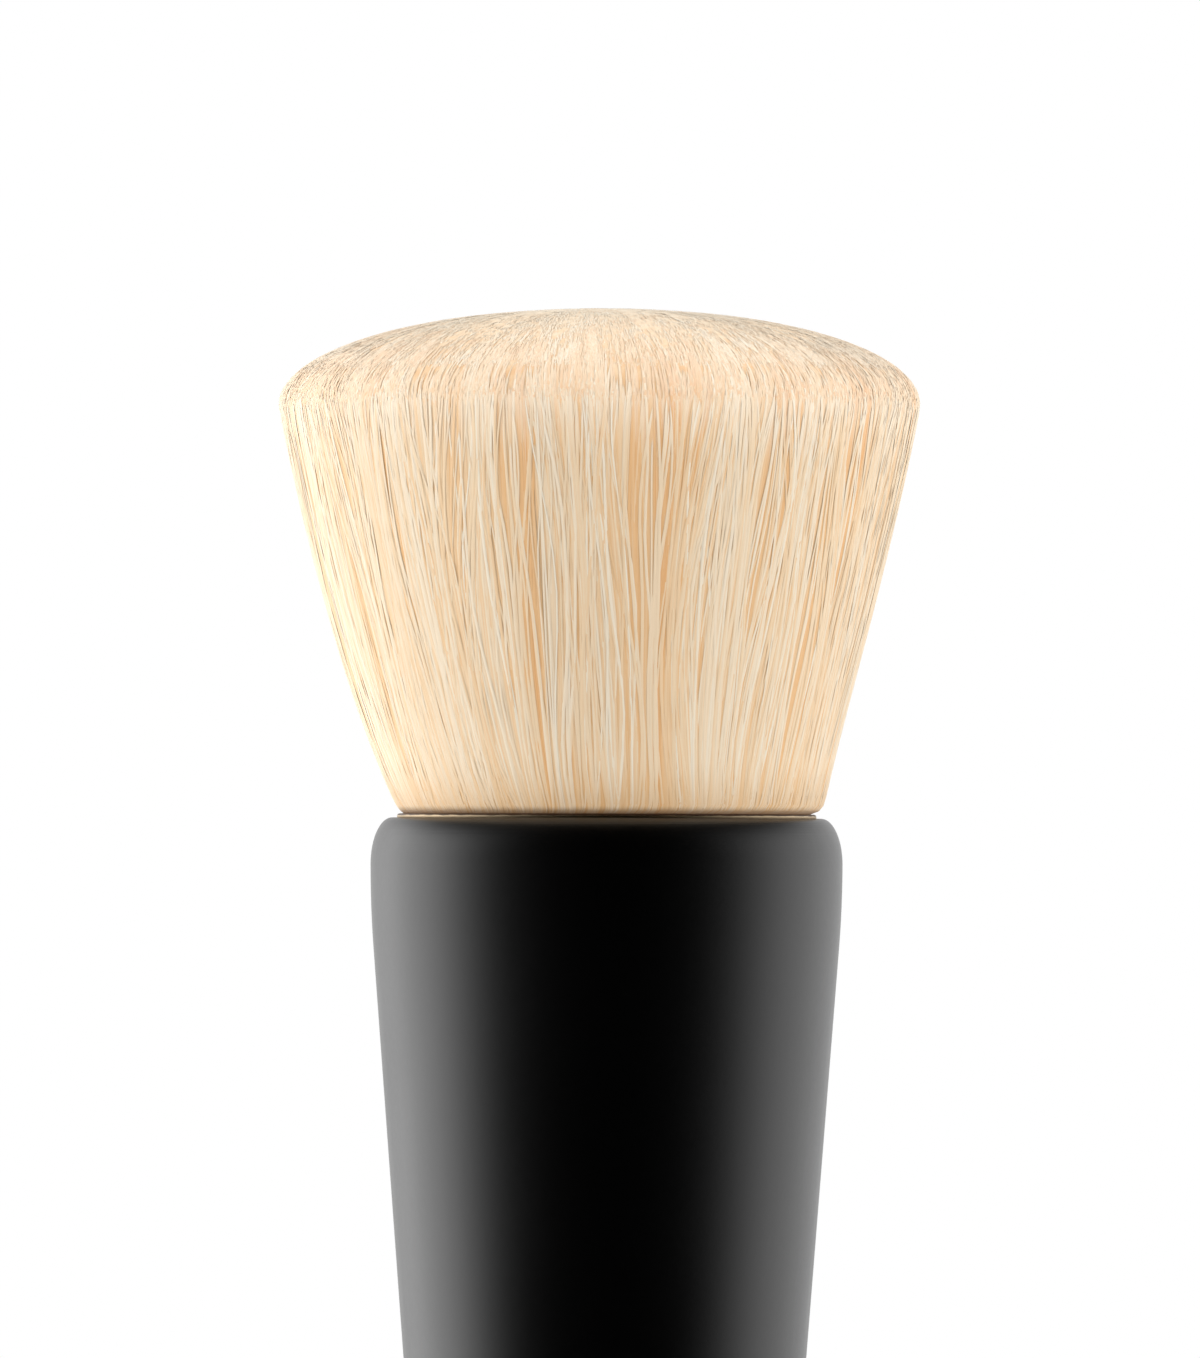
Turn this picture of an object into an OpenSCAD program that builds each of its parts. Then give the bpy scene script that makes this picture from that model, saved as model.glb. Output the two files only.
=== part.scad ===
// Blending brush: a dense, domed tuft of soft bristles in a short conical ferrule, which is
// glued into the wide end of a tapered handle and shows only as a thin rim around the roots.
// Millimetres, +Z up. The brush stands on its butt, with the origin in the middle of that face.

/* [Handle] */
// Length of the handle, from the butt to the face around the ferrule
handle_len = 80; // [65:0.5:110]
// Widest diameter of the handle, just under its shoulder
handle_d = 23.6; // [22.4:0.1:27]
// Diameter that the taper has at the butt, before its edge is rounded
butt_d = 12; // [10:0.1:16]
// Height of the rounded shoulder around the ferrule
shoulder_h = 2.3; // [1.2:0.1:4]
// Radius of the long curve that leads from the shoulder into the taper
swell_r = 55; // [40:1:200]
// Radius of the rounded edge of the butt
butt_edge_r = 1.5; // [0.5:0.1:2.5]
// Width of the flat land between the socket's mouth and the shoulder
land_w = 0.1; // [0.05:0.05:0.3]

/* [Ferrule] */
// Outside diameter of the ferrule at its rim
ferrule_d = 21; // [18:0.1:21.5]
// Outside diameter of the ferrule at its tail, inside the handle
tail_d = 18; // [15:0.1:18]
// Length of the ferrule
ferrule_len = 13; // [11:0.5:18]
// Thickness of the ferrule's wall
ferrule_wall = 0.25; // [0.15:0.05:0.5]
// Height of the ferrule's rim above the handle
rim_stand = 0.2; // [0.1:0.05:1]
// Depth of the bead that is rolled inwards to lock the roots
bead_depth = 0.5; // [0.2:0.05:0.8]
// Height of that bead
bead_h = 2; // [1:0.1:2.4]
// Height of the middle of the bead above the ferrule's tail
bead_rise = 3; // [2:0.1:4]

/* [Bristles] */
// Widest diameter of the tuft
head_d = 32; // [26:0.5:38]
// Height of the crown of the tuft above the ferrule's rim
bristle_out = 25.3; // [20:0.1:32]
// Height of the dome, from the widest line of the tuft to its crown
dome_h = 4.9; // [3:0.1:9]
// Depth below the rim at which the strands leave the glued roots
root_drop = 1; // [0.6:0.1:1.6]
// Thickness of the slice of glued roots that carries the strands
slice_h = 1.6; // [1:0.1:2]
// Rings of strands around the middle of the tuft
strand_rings = 8; // [7:1:9]

/* [Binding and glue] */
// Diameter of the thread that binds the roots
thread_d = 0.4; // [0.2:0.05:0.5]
// Turns of the thread around the roots
thread_turns = 6; // [4:1:7]
// Distance from the slice of glued roots down to the first turn
thread_drop = 0.7; // [0.3:0.1:1]
// Thickness of the glue between the ferrule and the socket
glue_gap = 0.15; // [0.1:0.05:0.3]
// Depth of the glue under the ferrule's tail
puddle_h = 0.8; // [0.4:0.1:2]
// Distance from the handle's top face down to the edge of the glue
glue_drop = 0.6; // [0.3:0.1:1.2]
// Radius of the mark that the boring tool's centre point leaves in the socket's floor
spur_r = 1.5; // [0.5:0.1:3]
// Depth of that mark
spur_h = 1; // [0.4:0.1:2]

/* [Hidden] */
$fn = 96;

// Clearance of the faceted slice of roots inside the ferrule, and of the thread under its wall
bond_gap = 0.05;
// How far a cut runs past the face that it opens
overrun = 1;

// Steps of the curves in the outlines
shoulder_steps = 18;
swell_steps = 6;
edge_steps = 8;
bead_steps = 12;
lip_steps = 6;

// A strand's thickness as a share of its own cell of the tuft, at three heights on the strand
strand_width_shares = [0.66, 0.6, 0.5];
// Those heights as shares of the strand's height above the rim, with the tip at 1
strand_height_shares = [0, 0.45, 0.86];
// How much the strands lean out at their roots beyond a straight line, as a share of the flare
flare_share = 0.32;
// How far the corners of the cells stray from even rings, as a share of a ring's width
stray_share = 0.22;
// Degrees by which each ring of cells is turned past the last, so that no straight aisles form
swirl_a = 4;
// How far the tips stop short of an even dome, at most, as a share of the dome's height
ragged_share = 0.07;
stray_seed = 11;

handle_r = handle_d / 2;
butt_r = butt_d / 2;
rim_z = handle_len + rim_stand;
widest_h = bristle_out - dome_h;
slice_drop = root_drop + slice_h;
bead_drop = ferrule_len - bead_rise;
floor_drop = ferrule_len + puddle_h;
floor_z = rim_z - floor_drop;

// Radius of the ferrule's plain cone at a depth below its rim
function cone_r(drop) = (ferrule_d - (ferrule_d - tail_d) * drop / ferrule_len) / 2;

// How far the rolled bead draws the wall in at a depth below the rim, as a full cosine wave
function bead_in(drop) =
    let (turn = (drop - bead_drop) / bead_h)
    abs(turn) < 1 / 2 ? bead_depth * (1 + cos(360 * turn)) / 2 : 0;

// Depths at which the outline of the wall bends: its two ends and the steps of the bead
function wall_drops(top_drop, low_drop) =
    concat([top_drop], [for (i = [0:bead_steps]) bead_drop + bead_h * (i / bead_steps - 1 / 2)], [low_drop]);

// The ferrule's outside from one depth to another, moved inwards by an inset
function wall_line(inset, top_drop, low_drop) =
    [for (drop = wall_drops(top_drop, low_drop)) [cone_r(drop) - bead_in(drop) - inset, rim_z - drop]];

// The socket follows the ferrule's cone at the thickness of the glue
function socket_r(drop) = cone_r(drop) + glue_gap;

mouth_r = socket_r(rim_stand);
shoulder_in_r = mouth_r + land_w;
shoulder_z = handle_len - shoulder_h;

// The taper is the line from the edge of the butt that touches the swell's circle. Seen from the
// circle's centre, the butt's edge lies taper_out across and shoulder_z down.
taper_out = butt_r - handle_r + swell_r;
taper_a = atan2(shoulder_z, taper_out) - acos(swell_r / norm([taper_out, shoulder_z]));
edge_x = butt_r + butt_edge_r * (tan(taper_a) - 1 / cos(taper_a));

function handle_outline() = concat(
    [[0, 0]],
    [for (i = [0:edge_steps])
        let (a = -90 + (90 - taper_a) * i / edge_steps)
        [edge_x + butt_edge_r * cos(a), butt_edge_r * (1 + sin(a))]],
    [for (i = [swell_steps:-1:1])
        let (a = taper_a * i / swell_steps)
        [handle_r - swell_r * (1 - cos(a)), shoulder_z - swell_r * sin(a)]],
    [for (i = [0:shoulder_steps])
        let (a = 90 * i / shoulder_steps)
        [shoulder_in_r + (handle_r - shoulder_in_r) * cos(a), shoulder_z + shoulder_h * sin(a)]],
    [[0, handle_len]]
);

function socket_outline() = [
    [0, floor_z - spur_h],
    [spur_r, floor_z],
    [socket_r(floor_drop), floor_z],
    [socket_r(rim_stand - overrun), handle_len + overrun],
    [0, handle_len + overrun]
];

// One turned piece: a flat butt, a straight taper, a slow swell and a rounded shoulder, with a
// blind tapered socket for the ferrule
module handle() {
    color("#161616")
    difference() {
        rotate_extrude() polygon(handle_outline());
        rotate_extrude() polygon(socket_outline());
    }
}

// A thin conical tube with a rounded rim and one bead rolled inwards
module ferrule() {
    lip_r = ferrule_wall / 2;
    lip_x = cone_r(lip_r) - lip_r;
    lip = [for (i = [0:lip_steps])
        let (a = 180 * i / lip_steps)
        [lip_x + lip_r * cos(a), rim_z - lip_r * (1 - sin(a))]];
    outside = wall_line(0, lip_r, ferrule_len);
    inside = wall_line(ferrule_wall, lip_r, ferrule_len);
    below_lip = len(outside) - 1;
    color("#c2a06e")
    rotate_extrude()
    polygon(concat(
        [for (i = [below_lip:-1:1]) outside[i]],
        lip,
        [for (i = [1:below_lip]) inside[i]]
    ));
}

// Glue that fills the socket under the ferrule and rises around it, keyed into its bead
module ferrule_adhesive() {
    glue_top = rim_stand + glue_drop;
    color("#d8cfb4")
    rotate_extrude()
    polygon(concat(
        [[0, floor_z - spur_h], [spur_r, floor_z], [socket_r(floor_drop), floor_z]],
        [[socket_r(glue_top), rim_z - glue_top]],
        wall_line(0, glue_top, ferrule_len),
        [[0, rim_z - ferrule_len]]
    ));
}

// Radius at the middle of the thread's turns, and depths of the first and the last turn
thread_top = slice_drop + thread_drop + thread_d / 2;
thread_low = thread_top + (thread_turns - 1) * thread_d;
thread_r = cone_r(thread_low) - ferrule_wall - bond_gap - thread_d / 2;

// The root of the tuft, set solid: it fills the ferrule from the slice down to the tail, with a
// neck that the binding thread lies in
module root_adhesive() {
    neck_r = thread_r - thread_d / 2;
    neck_top = thread_top - thread_d / 2;
    neck_low = thread_low + thread_d / 2;
    color("#b98a4a")
    rotate_extrude()
    polygon(concat(
        [[0, rim_z - slice_drop], [cone_r(slice_drop) - ferrule_wall, rim_z - slice_drop]],
        [[cone_r(neck_top) - ferrule_wall, rim_z - neck_top], [neck_r, rim_z - neck_top]],
        [[neck_r, rim_z - neck_low]],
        wall_line(ferrule_wall, neck_low, ferrule_len),
        [[0, rim_z - ferrule_len]]
    ));
}

// Thread wound around the roots, each turn pressed against the next
module binding_thread() {
    pressed_share = 1.04;
    color("#ece6d8")
    rotate_extrude()
    for (i = [0:thread_turns - 1])
        translate([thread_r, rim_z - thread_top - i * thread_d])
        circle(d = thread_d * (i > 0 && i < thread_turns - 1 ? pressed_share : 1), $fn = 24);
}

// The tuft is divided into cells, each the foot of one strand. Their corners lie on even rings,
// written on a disc of radius 1: a middle point, then 6 more on each ring than on the last.
function ring_start(ring) = ring == 0 ? 0 : 1 + 3 * ring * (ring - 1);
corner_count = ring_start(strand_rings + 1);
stray = rands(-stray_share, stray_share, 2 * corner_count, stray_seed);

function corner(ring, place) =
    let (i = 2 * ring_start(ring) + 2 * place)
    let (free = ring > 0 && ring < strand_rings ? 1 : 0)
    let (reach = (ring + free * stray[i]) / strand_rings)
    let (turn = 60 * (place + free * stray[i + 1]) / max(ring, 1) + swirl_a * ring)
    [reach * cos(turn), reach * sin(turn)];

corners = [for (ring = [0:strand_rings]) for (place = [0:max(6 * ring - 1, 0)]) corner(ring, place)];

// Number of the corner at a place on a ring, counted round and round
function corner_at(ring, place) = ring == 0 ? 0 : ring_start(ring) + place % (6 * ring);

// Each cell is three corners, anticlockwise seen from above. In each sixth of a ring, cells with
// a side on the outer ring alternate with cells with a side on the inner one.
cells = [for (ring = [1:strand_rings]) for (sixth = [0:5]) for (i = [0:ring - 1])
    let (inner = sixth * (ring - 1) + i)
    let (outer = sixth * ring + i)
    each concat(
        [[corner_at(ring - 1, inner), corner_at(ring, outer), corner_at(ring, outer + 1)]],
        i < ring - 1
            ? [[corner_at(ring - 1, inner), corner_at(ring, outer + 1), corner_at(ring - 1, inner + 1)]]
            : []
    )];

function middle(cell) = (corners[cell[0]] + corners[cell[1]] + corners[cell[2]]) / 3;
middles = [for (cell = cells) middle(cell)];
outermost = max([for (m = middles) norm(m)]);
short_shares = rands(0, ragged_share, len(cells), stray_seed);

foot_r = cone_r(root_drop) - ferrule_wall - bond_gap;
slice_r = cone_r(slice_drop) - ferrule_wall - bond_gap;

// Radius that the unit disc has at a height above the rim: the roots' own up to the rim, then a
// curve that is steepest at the rim and brings the outermost tips to the widest line
function spread_r(h) =
    let (rise = max(h, 0) / widest_h)
    foot_r + (head_d / 2 / outermost - foot_r) * rise * (1 + flare_share * (1 - rise));

// Height of a strand's tip above the rim, on a half ellipsoid over the widest line
function tip_h(i) =
    let (out = min(norm(middles[i]) / outermost, 1))
    widest_h + dome_h * (sqrt(1 - out * out) - short_shares[i]);

// A point of a strand: its cell's corner, drawn in towards the cell's middle by a width share
function strand_point(i, k, width_share, h) =
    let (p = spread_r(h) * (middles[i] + width_share * (corners[cells[i][k]] - middles[i])))
    [p.x, p.y, rim_z + h];

// Bristles: each strand rises from its cell of the slice, so neighbours share an edge at their
// feet and nothing above. It narrows to the rim, leans out with the tuft and ends in a point.
module bristles() {
    levels = len(strand_width_shares);
    strand_size = 3 * levels + 1;
    rim_corners = 6 * strand_rings;
    rim_start = ring_start(strand_rings);
    low_start = corner_count;
    low_middle = low_start + rim_corners;
    first_strand = low_middle + 1;

    feet = [for (c = corners) [foot_r * c.x, foot_r * c.y, rim_z - root_drop]];
    lows = [for (i = [0:rim_corners - 1])
        let (c = corners[rim_start + i])
        [slice_r * c.x, slice_r * c.y, rim_z - slice_drop]];
    strands = [for (i = [0:len(cells) - 1]) each concat(
        [for (level = [0:levels - 1]) for (k = [0:2])
            strand_point(i, k, strand_width_shares[level], tip_h(i) * strand_height_shares[level])],
        [strand_point(i, 0, 0, tip_h(i))]
    )];

    // Two triangles between a lower and an upper edge, or one below a tip
    function band(low_a, low_b, up_a, up_b) = [[up_a, up_b, low_b], [up_a, low_b, low_a]];

    slice_faces = [for (i = [0:rim_corners - 1])
        let (next = (i + 1) % rim_corners)
        each concat(
            band(low_start + i, low_start + next, rim_start + i, rim_start + next),
            [[low_middle, low_start + i, low_start + next]]
        )];
    strand_faces = [for (i = [0:len(cells) - 1]) for (k = [0:2])
        let (next = (k + 1) % 3)
        let (start = first_strand + i * strand_size)
        let (tip = start + strand_size - 1)
        each concat(
            band(cells[i][k], cells[i][next], start + k, start + next),
            [for (level = [1:levels - 1]) each band(
                start + 3 * (level - 1) + k, start + 3 * (level - 1) + next,
                start + 3 * level + k, start + 3 * level + next
            )],
            [[tip, tip - 3 + next, tip - 3 + k]]
        )];

    color("#efd8b4")
    polyhedron(
        points = concat(feet, lows, [[0, 0, rim_z - slice_drop]], strands),
        faces = concat(slice_faces, strand_faces)
    );
}

handle();
ferrule();
ferrule_adhesive();
root_adhesive();
binding_thread();
bristles();
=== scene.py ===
# %% [markdown]
# # A blending brush
# The brush has three pieces that show: a domed tuft of pale bristles, the thin metal rim of the
# ferrule around its roots, and a tapered black handle. The frame already holds every solid piece
# at its real size, so the lesson is about looks: how to grow a tuft hair by hair, and how to
# finish lacquer, metal, glue and thread. Everything is in metres, with the butt at the origin.

# %% Load the frame
import math

import bpy
import numpy as np
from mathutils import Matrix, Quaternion, Vector


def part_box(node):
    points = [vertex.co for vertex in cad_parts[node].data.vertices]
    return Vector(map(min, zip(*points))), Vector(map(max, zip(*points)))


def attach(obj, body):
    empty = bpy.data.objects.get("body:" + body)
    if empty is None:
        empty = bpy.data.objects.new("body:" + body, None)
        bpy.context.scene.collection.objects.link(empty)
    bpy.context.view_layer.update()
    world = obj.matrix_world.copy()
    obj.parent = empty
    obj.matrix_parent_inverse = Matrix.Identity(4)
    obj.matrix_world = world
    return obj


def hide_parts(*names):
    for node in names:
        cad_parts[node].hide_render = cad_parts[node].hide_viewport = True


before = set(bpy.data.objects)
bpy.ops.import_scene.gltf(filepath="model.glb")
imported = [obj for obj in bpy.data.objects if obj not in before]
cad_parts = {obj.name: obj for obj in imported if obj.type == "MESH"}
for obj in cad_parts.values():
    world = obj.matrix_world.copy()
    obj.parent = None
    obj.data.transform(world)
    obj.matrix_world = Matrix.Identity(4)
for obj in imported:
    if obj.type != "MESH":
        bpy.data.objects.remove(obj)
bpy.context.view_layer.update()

mm = 0.001
print("nodes:", sorted(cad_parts))

# %% [markdown]
# ## Where things are
# The frame says where the rim of the ferrule lies and how far the tuft reaches. Sizes that only
# the looks need are named once, in the step that first needs them. Heights called h are measured
# from the rim, because that is where the hairs come out.

# %% Places taken from the frame
handle_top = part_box("handle")[1].z
rim_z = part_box("ferrule")[1].z
tuft_low, tuft_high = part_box("bristles")
head_r = (tuft_high.x - tuft_low.x) / 2
crown_h = tuft_high.z - rim_z
dome_h = 4.9 * mm
widest_h = crown_h - dome_h
print(f"rim {rim_z / mm:.2f} mm up, tuft {2 * head_r / mm:.2f} mm wide")
print(f"above the rim: widest line {widest_h / mm:.2f} mm, crown {crown_h / mm:.2f} mm")

# %% [markdown]
# ## The camera
# The photo was taken from far away with a long lens, a little below the rim, and the brush stands
# a fifth of a degree off plumb in it. One photo pixel is a twentieth of a millimetre there.
# Aiming the camera at a point worked out in pixels needs no lens shift, so that other views of
# the brush stay centred too.

# %% Camera
photo_px = 0.05 * mm
photo_width_px, photo_height_px = 1200, 1358
handle_top_px = 818
axis_px = 607.2
camera_distance = 0.9
camera_elevation = math.radians(-0.55)
camera_roll = math.radians(0.2)
clip_near, clip_far = 0.01, 20.0


def add_camera():
    """A view along +Y, tipped up and rolled a little, that spans the photo's height at the brush:
    the lens is as long to the sensor as the distance is to that height."""
    data = bpy.data.cameras.new("camera")
    data.lens = data.sensor_width * camera_distance / (photo_height_px * photo_px)
    data.clip_start, data.clip_end = clip_near, clip_far
    camera = bpy.data.objects.new("camera", data)
    target = Vector((
        (photo_width_px / 2 - axis_px) * photo_px,
        0,
        handle_top + (handle_top_px - photo_height_px / 2) * photo_px,
    ))
    back = Vector((0, -math.cos(camera_elevation), math.sin(camera_elevation)))
    camera.location = target + back * camera_distance
    camera.rotation_mode = "QUATERNION"
    camera.rotation_quaternion = (-back).to_track_quat("-Z", "Y") @ Quaternion((0, 0, 1), camera_roll)
    bpy.context.scene.collection.objects.link(camera)
    bpy.context.scene.camera = camera
    return camera


camera = add_camera()
print(f"lens {camera.data.lens:.0f} mm at {camera_distance} m")

# %% [markdown]
# ## Writing shaders as sums
# A material is a graph of nodes, but its recipe reads best as arithmetic. `Value` wraps one output
# of a node, and each operator adds the Math node that it stands for. `add` makes any other node:
# its settings come first, then the values or links of its inputs.

# %% Shader helpers
class Value:
    """An output socket that can be used in sums, with a plain number on either side."""

    def __init__(self, socket):
        self.socket = socket

    def maths(self, operation, first, second):
        """A Math node on two numbers or links."""
        settings = {"operation": operation}
        return add(self.socket.id_data, "ShaderNodeMath", settings, {0: first, 1: second})

    def __add__(self, other):
        return self.maths("ADD", self, other)

    __radd__ = __add__

    def __sub__(self, other):
        return self.maths("SUBTRACT", self, other)

    def __rsub__(self, other):
        return self.maths("SUBTRACT", other, self)

    def __mul__(self, other):
        return self.maths("MULTIPLY", self, other)

    __rmul__ = __mul__

    def between(self, low, high):
        """0 below low, 1 above high, and a smooth step from one to the other."""
        settings = {"interpolation_type": "SMOOTHSTEP"}
        limits = {"Value": self, "From Min": low, "From Max": high}
        return add(self.socket.id_data, "ShaderNodeMapRange", settings, limits)


def add(tree, kind, settings=None, inputs=None, output=0):
    """Adds a node, applies its settings, fills its inputs with values or links, and returns an output."""
    node = tree.nodes.new(kind)
    for name, setting in (settings or {}).items():
        if name == "stops":
            ramp = node.color_ramp.elements
            while len(ramp) < len(setting):
                ramp.new(0.5)
            for stop, (place, colour) in zip(ramp, setting):
                stop.position, stop.color = place, (*colour, 1)
        else:
            setattr(node, name, setting)
    for name, value in (inputs or {}).items():
        if isinstance(value, Value):
            tree.links.new(value.socket, node.inputs[name])
        else:
            node.inputs[name].default_value = value
    return Value(node.outputs[output])


def parts(tree, vector):
    """The x, y and z of a vector."""
    first = add(tree, "ShaderNodeSeparateXYZ", None, {0: vector})
    return [Value(output) for output in first.socket.node.outputs]


def length(tree, vector):
    """The length of a vector, as a number."""
    return add(tree, "ShaderNodeVectorMath", {"operation": "LENGTH"}, {0: vector}, output="Value")


def mixed(tree, factor, first, second):
    """A colour between two others, each a colour or a link."""
    return add(tree, "ShaderNodeMix", {"data_type": "RGBA"}, {0: factor, 6: first, 7: second}, output=2)


def noise(tree, place, size, detail=3.0, roughness=0.5):
    """Noise from 0 to 1 with patches of about this size."""
    inputs = {"Vector": place, "Scale": 1 / size, "Detail": detail, "Roughness": roughness}
    return add(tree, "ShaderNodeTexNoise", None, inputs)


def object_place(tree):
    """The place on the object, in metres. Every object is at the origin, so it is the place in the frame."""
    return add(tree, "ShaderNodeTexCoord", output="Object")


print("a Value can be added, subtracted, multiplied and stepped with between")

# %% Material helpers
def new_material(name):
    """An empty material, its tree and the output node that a shader goes into."""
    material = bpy.data.materials.new(name)
    material.use_nodes = True
    tree = material.node_tree
    tree.nodes.clear()
    return material, tree, tree.nodes.new("ShaderNodeOutputMaterial")


def principled(tree, out, constants, links):
    """The one surface shader of a material: numbers set on its sockets, and what varies linked."""
    shader = add(tree, "ShaderNodeBsdfPrincipled", None, {**constants, **links}, output="BSDF")
    tree.links.new(shader.socket, out.inputs["Surface"])


def srgb(red, green, blue):
    """A screen colour, written 0 to 255, as the light it stands for."""
    shares = (channel / 255 for channel in (red, green, blue))
    return tuple(s / 12.92 if s <= 0.04045 else ((s + 0.055) / 1.055) ** 2.4 for s in shares)


print("middle grey on a screen is", round(srgb(128, 128, 128)[0], 3), "of white's light")

# %% [markdown]
# ## The studio
# The lacquer tells how the brush was lit: it is black in the middle and grey towards both sides,
# more so on the left. So the studio is bright on both sides, brighter on the left, white behind
# the brush and dark around the camera. Big lamps could make it, but lacquer shows their edges, so
# the world holds the studio as a formula of the direction that a ray takes. Rays from the camera
# meet plain white instead.

# %% World
left_level, right_level, wall_level = 2.6, 1.45, 1.1
left_until, right_from = -0.3, 0.3
side_from, side_to = -0.62, 0.25
wall_from, wall_to = 0.6, 0.95
ceiling_from, ceiling_to, ceiling_dark = 0.25, 0.75, 0.95


def light_world():
    """Strength by the direction of a ray, with y its part away from the camera, x to the right and z
    up. It rises along y, its level goes from left to right along x and to the wall's behind, and
    it fades out overhead."""
    world = bpy.data.worlds.new("studio")
    bpy.context.scene.world = world
    world.use_nodes = True
    tree = world.node_tree
    tree.nodes.clear()
    out = tree.nodes.new("ShaderNodeOutputWorld")
    camera_ray = add(tree, "ShaderNodeLightPath", output="Is Camera Ray")
    x, y, z = parts(tree, add(tree, "ShaderNodeTexCoord", output="Generated"))
    sides = left_level + (right_level - left_level) * x.between(left_until, right_from)
    level = sides + (wall_level - sides) * y.between(wall_from, wall_to)
    overhead = z.between(ceiling_from, ceiling_to) * ceiling_dark
    studio = level * y.between(side_from, side_to) * (1 - overhead)
    strength = camera_ray + (1 - camera_ray) * studio
    background = add(tree, "ShaderNodeBackground", None, {"Color": (1, 1, 1, 1), "Strength": strength})
    tree.links.new(background.socket, out.inputs["Surface"])


light_world()
bpy.context.scene.view_settings.view_transform = "Standard"
print(f"studio: {left_level} on the left, {right_level} on the right, {wall_level} behind")

# %% [markdown]
# ### Lamps for the tuft
# Bristles need more light from the front than the lacquer shows. A photographer holds a black
# card between such a lamp and the handle, and light linking does the same here. A wide box fills
# from the front. A box on each side, higher up, shapes the flanks and reaches over the dome. One
# overhead is nearly out. The world is brighter on the left, so the box on the right is stronger.

# %% Lamps
tuft_lamps = {
    "front_box": {"turn": 0, "rise": 8, "distance": 1.0, "width": 1.4, "height": 0.9, "radiance": 1.1},
    "left_box": {"turn": -52, "rise": 30, "distance": 0.95, "width": 1.0, "height": 0.9, "radiance": 1.85},
    "right_box": {"turn": 52, "rise": 30, "distance": 0.95, "width": 1.0, "height": 0.9, "radiance": 2.5},
    "top_box": {"turn": 0, "rise": 60, "distance": 0.9, "width": 1.6, "height": 0.9, "radiance": 0.1},
}


def add_soft_box(name, turn, rise, distance, width, height, radiance):
    """A lamp turn degrees round from the camera, to the right if positive, and rise degrees up,
    aimed at the rim. Its power is radiance times area times pi, which is what a flat lamp gives."""
    data = bpy.data.lights.new(name, "AREA")
    data.shape, data.size, data.size_y = "RECTANGLE", width, height
    data.energy = radiance * width * height * math.pi
    lamp = bpy.data.objects.new(name, data)
    a, up = math.radians(turn), math.radians(rise)
    away = Vector((math.sin(a) * math.cos(up), -math.cos(a) * math.cos(up), math.sin(up)))
    lamp.location = Vector((0, 0, rim_z)) + away * distance
    lamp.rotation_mode = "QUATERNION"
    lamp.rotation_quaternion = away.to_track_quat("Z", "Y")
    lamp.visible_camera = False
    bpy.context.scene.collection.objects.link(lamp)
    return lamp


def light_only(lamps, pieces):
    """Keeps the light of some lamps to some pieces."""
    lit = bpy.data.collections.new("lit by the tuft's lamps")
    for piece in pieces:
        lit.objects.link(piece)
    for lamp in lamps:
        lamp.light_linking.receiver_collection = lit


lamps = [add_soft_box(name, **lamp) for name, lamp in tuft_lamps.items()]
print("lamps for the tuft, in watts:", {lamp.name: round(lamp.data.energy, 1) for lamp in lamps})

# %% [markdown]
# ## Meshes from arrays
# Floor, core and hairs are all made of rings of points, joined by quads and closed by a fan of
# triangles at an end. A few helpers write those faces for any number of rings and sides, and put
# the arrays into a mesh at once, because a loop over a million points would take minutes.

# %% Mesh helpers
def new_mesh(name, points, faces):
    """A mesh from arrays: points (n, 3), and a list of arrays of faces, one array per corner count."""
    mesh = bpy.data.meshes.new(name)
    corners = np.concatenate([f.ravel() for f in faces]).astype(np.int32)
    counts = np.concatenate([np.full(len(f), f.shape[1]) for f in faces])
    starts = np.concatenate([[0], np.cumsum(counts)[:-1]]).astype(np.int32)
    mesh.vertices.add(len(points))
    mesh.vertices.foreach_set("co", np.ascontiguousarray(points, np.float32).ravel())
    mesh.loops.add(len(corners))
    mesh.loops.foreach_set("vertex_index", corners)
    mesh.polygons.add(len(starts))
    mesh.polygons.foreach_set("loop_start", starts)
    mesh.polygons.foreach_set("use_smooth", np.ones(len(starts), bool))
    mesh.update(calc_edges=True)
    return mesh


def new_piece(name, mesh, material):
    """An object at the origin that shows a mesh in a material."""
    piece = bpy.data.objects.new(name, mesh)
    mesh.materials.append(material)
    bpy.context.scene.collection.objects.link(piece)
    return piece


def circle(sides):
    """Points spread evenly round a circle of radius 1, as (side, 2)."""
    turn = np.arange(sides) * 2 * np.pi / sides
    return np.stack([np.cos(turn), np.sin(turn)], -1)


def ring_quads(rings, sides):
    """Quads between rings of points. They face outwards where each ring lies above the last."""
    side = np.arange(sides)
    level = sides * np.arange(rings - 1)[:, None]
    low, low_after = (level + side).ravel(), (level + (side + 1) % sides).ravel()
    return np.stack([low, low_after, low_after + sides, low + sides], 1)


def fan(sides, start, pole):
    """Triangles that face up, from the ring whose first point is start to the point pole."""
    side = np.arange(sides)
    return np.stack([start + side, start + (side + 1) % sides, np.full(sides, pole)], 1)


print("a tube of 2 rings with 3 sides:", len(ring_quads(2, 3)), "quads and a fan of", len(fan(3, 3, 6)))

# %% [markdown]
# ## The floor
# A pale disc that the brush stands on, to hold its shadow. It fades out towards its edge, so it
# has no rim to see.

# %% Floor
floor_r = 0.12
floor_solid_r = 0.04
floor_rings, floor_sides = 6, 96
floor_paint = (0.6, 0.6, 0.6, 1)


def floor_material():
    """White paint, let through more and more towards the edge of the disc."""
    material, tree, out = new_material("floor_white")
    fade = length(tree, object_place(tree)).between(floor_solid_r, floor_r)
    paint = add(tree, "ShaderNodeBsdfDiffuse", None, {"Color": floor_paint})
    clear = add(tree, "ShaderNodeBsdfTransparent")
    shader = add(tree, "ShaderNodeMixShader", None, {0: fade, 1: paint, 2: clear})
    tree.links.new(shader.socket, out.inputs["Surface"])
    return material


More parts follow.
